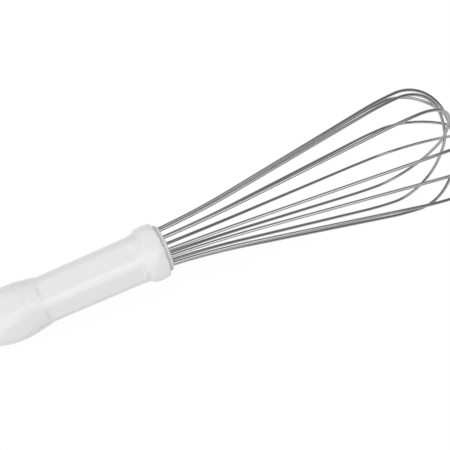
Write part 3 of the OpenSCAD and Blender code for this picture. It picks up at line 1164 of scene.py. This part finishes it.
@dataclass(frozen=True)
class SealDisc:
    """The domed disc that closes the collar round the wires."""

    radius: float = 11.15
    seat_depth: float = 2.6
    stand: float = 1.9
    dome: float = 1.5
    rim_rounding: float = 0.4
    rear_rounding: float = 0.2
    # Groove round the rim.
    groove_depth: float = 0.45
    groove_width: float = 0.6
    groove_rounding: float = 0.12
    # Bores for the wires.
    bore_clearance: float = 0.1
    mouth_flare: float = 0.3
    mouth_reach: float = 0.4
    # How fine the mesh is.
    steps: int = 120
    dome_steps: int = 14
    bore_steps: int = 32
    arc_step: float = 15.0

    @property
    def middle(self) -> float:
        """Middle of the straight wall, along the axis."""
        return (self.stand - self.seat_depth) / 2

    @property
    def _dome_radius(self) -> float:
        """Radius of the ball that the dome is a cap of."""
        return (self.radius ** 2 + self.dome ** 2) / (2 * self.dome)

    def surface_x(self, radius: float) -> float:
        """Returns the place of the dome's surface at a distance from the axis."""
        centre = self.stand + self.dome - self._dome_radius
        return centre + math.sqrt(self._dome_radius ** 2 - radius ** 2)

    def _outline(self) -> list[Vector]:
        """Draws the disc's outline.

        Returns:
            The points from the middle of its rear face to the top of its dome.
        """
        rings = [self.radius * (1 - step / self.dome_steps) for step in range(self.dome_steps + 1)]
        dome = [Corner(self.surface_x(radius), radius) for radius in rings]
        dome[0] = Corner(dome[0].x, dome[0].radius, self.rim_rounding)
        foot = self.radius - self.groove_depth
        rear = [Corner(-self.seat_depth, 0.0),
                Corner(-self.seat_depth, self.radius, self.rear_rounding),
                Corner(-self.groove_width, self.radius, self.groove_rounding),
                Corner(-self.groove_width / 2, foot, self.groove_rounding),
                Corner(self.groove_width, foot, self.groove_rounding),
                Corner(self.groove_width, self.radius, self.groove_rounding)]
        return rounded(rear + dome, self.arc_step)

    def _bore_tool(self, bench: Bench, cage: WireCage) -> Object:
        """Makes the tool for all the bores, each one a little flared where it opens.

        Args:
            bench: Where it is laid.
            cage: The cage whose wires pass through.

        Returns:
            The tool.
        """
        radius = cage.wire_diameter / 2 + self.bore_clearance
        rear = -self.seat_depth - self.stand - 2 * self.dome
        corners = [
            Corner(rear, 0.0),
            Corner(rear, radius),
            Corner(0.0, radius, 2 * self.mouth_flare),
            Corner(self.mouth_reach, radius + self.mouth_flare),
            Corner(self.mouth_reach, 0.0),
        ]
        bore = as_data(spun(rounded(corners, self.arc_step), self.bore_steps), "bore")
        tools = bmesh.new()
        for matrix in cage.exits():
            tools.from_mesh(bore)
            turn = matrix @ Matrix.Rotation(-math.pi / 2, 4, "Y")
            bmesh.ops.transform(tools, matrix=turn, verts=tools.verts[-len(bore.vertices):])
        bpy.data.meshes.remove(bore)
        return bench.finished(tools, "bore_tool")

    def build(self, bench: Bench, cage: WireCage) -> None:
        """Builds the disc with a bore for each wire.

        Args:
            bench: Where it is finished.
            cage: The cage whose wires pass through.
        """
        piece = bench.finished(spun(self._outline(), self.steps), "domed_seal")
        cut(piece, self._bore_tool(bench, cage))
        bench.declare(piece, Slot.SEAL, "seal_disc")


@dataclass(frozen=True)
class PhotoView:
    """The photograph's viewpoint, held to the handle's axis.

    Args:
        image: Width of the image in pixels.
        focal: Focal length in pixels.
        distance: From the camera to the plane of the held place, in millimetres.
        held_x: The place on the axis that is held, in front of the collar.
        held_pixel: Where that place is in the image.
        dip: Angle at which the axis runs away from the camera.
        climb: Angle of the axis in the image.
        roll: Turn of the handle about its axis, against the image.
        sensor: Width of the sensor.
        nearest: Nearest distance that is seen, in metres.
    """

    image: float = 450.0
    focal: float = 566.3
    distance: float = 261.9
    held_x: float = 6.93
    held_pixel: tuple = (173.68, 243.29)
    dip: float = 15.7
    climb: float = 23.63
    roll: float = 52.0
    sensor: float = 36.0
    nearest: float = 0.01

    def _image_axes(self) -> Matrix:
        """Works out how the image is turned.

        Returns:
            The image's right, up and back directions as columns, in handle axes.
        """
        dip, climb, roll = (math.radians(angle) for angle in (self.dip, self.climb, self.roll))
        along = Vector((math.cos(dip) * math.cos(climb), math.cos(dip) * math.sin(climb),
                        -math.sin(dip)))
        aside = Vector((-math.sin(climb), math.cos(climb), 0.0))
        above = along.cross(aside)
        return Matrix((
            along,
            math.sin(roll) * aside - math.cos(roll) * above,
            math.cos(roll) * aside + math.sin(roll) * above,
        ))

    def build(self, lay: Lay) -> None:
        """Makes the camera.

        Args:
            lay: How the whisk lies.
        """
        axes = self._image_axes()
        middle = self.image / 2
        scale = self.distance / self.focal
        offset = Vector(((middle - self.held_pixel[0]) * scale,
                         (self.held_pixel[1] - middle) * scale, self.distance))
        place = Vector((self.held_x, 0.0, 0.0)) + axes @ offset
        data = bpy.data.cameras.new("photo_view")
        data.sensor_width = self.sensor
        data.lens = self.focal / self.image * self.sensor
        data.clip_start = self.nearest
        camera = placed("photo_view", data)
        turned = lay.turned.to_3x3() @ axes
        camera.matrix_world = Matrix.Translation(lay.matrix @ place) @ turned.to_4x4()
        bpy.context.scene.camera = camera
        log.info("camera: lens %.1f mm, %.0f mm away", data.lens, self.distance)


@dataclass(frozen=True)
class SoftBox:
    """A square lamp that looks at the whisk.

    Args:
        name: Name of the lamp.
        place: Its place in metres.
        size: Its width in metres.
        power: Its power in watts.
    """

    name: str
    place: tuple
    size: float
    power: float

    def build(self) -> None:
        """Makes the lamp, which gloss and metal don't mirror."""
        data = bpy.data.lights.new(self.name, "AREA")
        data.shape = "SQUARE"
        data.size = self.size
        data.energy = self.power
        lamp = placed(self.name, data)
        lamp.location = self.place
        lamp.rotation_euler = Vector(self.place).to_track_quat("Z", "Y").to_euler()
        lamp.visible_glossy = False


@dataclass(frozen=True)
class Glow:
    """A bright patch of the room's walls, as gloss and metal mirror it.

    Args:
        azimuth: Where it is round the vertical, in degrees from X towards Y.
        elevation: How high it is, in degrees.
        level: Light of the patch.
        full: Angle from its middle up to which it is full, in degrees.
        edge: Angle from its middle at which it has faded out.
    """

    azimuth: float
    elevation: float
    level: float
    full: float
    edge: float

    @property
    def way(self) -> Vector:
        """The unit vector towards the middle of the patch."""
        around, up = math.radians(self.azimuth), math.radians(self.elevation)
        return Vector((math.cos(up) * math.cos(around), math.cos(up) * math.sin(around),
                       math.sin(up)))


@dataclass(frozen=True)
class Studio:
    """A white floor in a dim room with a few bright patches, and soft lamps over it.

    Args:
        floor_size: Width of the floor in metres.
        floor_colour: Colour of the floor.
        floor_roughness: Roughness of the floor.
        floor_shine: Strength of what the floor mirrors.
        white_share: How much of what is seen of the floor is plain white.
        white_level: Level of that white.
        dim_level: Light of the room between its bright patches.
        glows: The bright patches.
        lamps: The lamps.
    """

    floor_size: float = 6.0
    floor_colour: tuple = (0.65, 0.65, 0.65, 1.0)
    floor_roughness: float = 0.9
    floor_shine: float = 0.1
    white_share: float = 0.9
    white_level: float = 1.05
    dim_level: float = 0.25
    glows: tuple = (
        Glow(55.0, 33.0, 0.33, 25.0, 55.0),
        Glow(-88.0, 51.0, 1.9, 13.0, 21.0),
        Glow(-100.0, 31.0, 1.1, 11.0, 21.0),
        Glow(178.0, 14.0, 1.0, 12.0, 19.0),
        Glow(-145.0, 13.0, 1.0, 12.0, 19.0),
        Glow(-108.0, 14.0, 1.0, 12.0, 19.0),
    )
    lamps: tuple = (
        SoftBox("top_box", (0.0, 0.0, 0.9), 0.8, 1.2),
        SoftBox("camera_box", (-0.39, -0.52, 0.62), 0.5, 0.5),
        SoftBox("far_box", (0.0, 0.62, 0.62), 0.6, 1.2),
        SoftBox("near_box", (-0.1, -0.85, 0.25), 0.5, 0.3),
        SoftBox("butt_box", (-0.8, -0.1, 0.35), 0.5, 1.5),
        SoftBox("tip_box", (0.75, -0.3, 0.45), 0.5, 1.1),
    )

    @staticmethod
    def _is_any(sheet: NodeSheet, *rays: str) -> NodeSocket:
        """Picks out kinds of ray.

        Args:
            sheet: The sheet that the nodes go into.
            rays: The light path's names of the kinds.

        Returns:
            A socket that is 1 for a ray of any of the kinds, and else 0.
        """
        path = sheet.node("ShaderNodeLightPath")
        picked = path.outputs[rays[0]]
        for ray in rays[1:]:
            picked = sheet.math("MAXIMUM", picked, path.outputs[ray])
        return picked

    def _floor(self) -> None:
        """Lays the floor, which the camera sees as white under the whisk's soft shadow."""
        mesh = bmesh.new()
        bmesh.ops.create_grid(mesh, x_segments=1, y_segments=1, size=self.floor_size / 2)
        floor = placed("floor", as_data(mesh, "floor"))
        material, sheet, shader = new_material("white_floor")
        sheet.node(shader, Base_Color=self.floor_colour, Roughness=self.floor_roughness,
                   Specular_IOR_Level=self.floor_shine)
        seen = self._is_any(sheet, "Is Camera Ray", "Is Glossy Ray", "Is Transmission Ray")
        share = sheet.math("MULTIPLY", seen, self.white_share)
        white = sheet.node("ShaderNodeEmission", Color=WHITE, Strength=self.white_level)
        mixed = sheet.node("ShaderNodeMixShader", in0=share, in1=shader.outputs[0],
                           in2=white.outputs[0])
        sheet.node(sheet.tree.nodes["Material Output"], Surface=mixed.outputs[0])
        floor.data.materials.append(material)

    def _room(self) -> None:
        """Sets the world, a dim room with bright patches, which the camera sees as plain white."""
        world = bpy.data.worlds.new("studio")
        world.use_nodes = True
        sheet = NodeSheet(world.node_tree)
        way = sheet.node("ShaderNodeTexCoord").outputs["Generated"]
        level = self.dim_level
        for glow in self.glows:
            toward = sheet.node("ShaderNodeVectorMath", {"operation": "DOT_PRODUCT"}, in0=way,
                                in1=glow.way).outputs["Value"]
            edge, full = math.cos(math.radians(glow.edge)), math.cos(math.radians(glow.full))
            patch = sheet.ramp(toward, (edge, full), (0.0, glow.level))
            level = sheet.math("ADD", patch, level)
        seen = self._is_any(sheet, "Is Camera Ray", "Is Transmission Ray")
        behind = sheet.node("ShaderNodeMix", in0=seen, in2=level, in3=1.0).outputs[0]
        sheet.node(sheet.tree.nodes["Background"], Color=WHITE, Strength=behind)
        bpy.context.scene.world = world

    def build(self) -> None:
        """Builds the floor, the room's light and the lamps."""
        self._floor()
        self._room()
        for lamp in self.lamps:
            lamp.build()
        bpy.context.scene.view_settings.view_transform = "Standard"


def main() -> None:
    """Builds the studio, the view and the whisk, piece by piece."""
    logging.basicConfig(level=logging.INFO, format="%(name)s: %(message)s")
    handle, seal = Handle(), SealDisc()
    cage = WireCage(exit_x=seal.surface_x(WireCage.exit_radius))
    lay = Lay.from_frame(handle.hole_back, seal.middle)
    log.info("lay: front %s, pitch %.4f degrees", tuple(lay.front), math.degrees(lay.pitch))
    bench = Bench(lay)
    Studio().build()
    PhotoView().build(lay)
    cage.build(bench)
    handle.build(bench)
    seal.build(bench, cage)
    for node, slot in (("wire_core", Slot.CORE), ("tail_band", Slot.BAND),
                       ("resin_fill", Slot.RESIN)):
        bench.dress(frame["nodes"][node], slot)


if __name__ == "__main__":
    main()
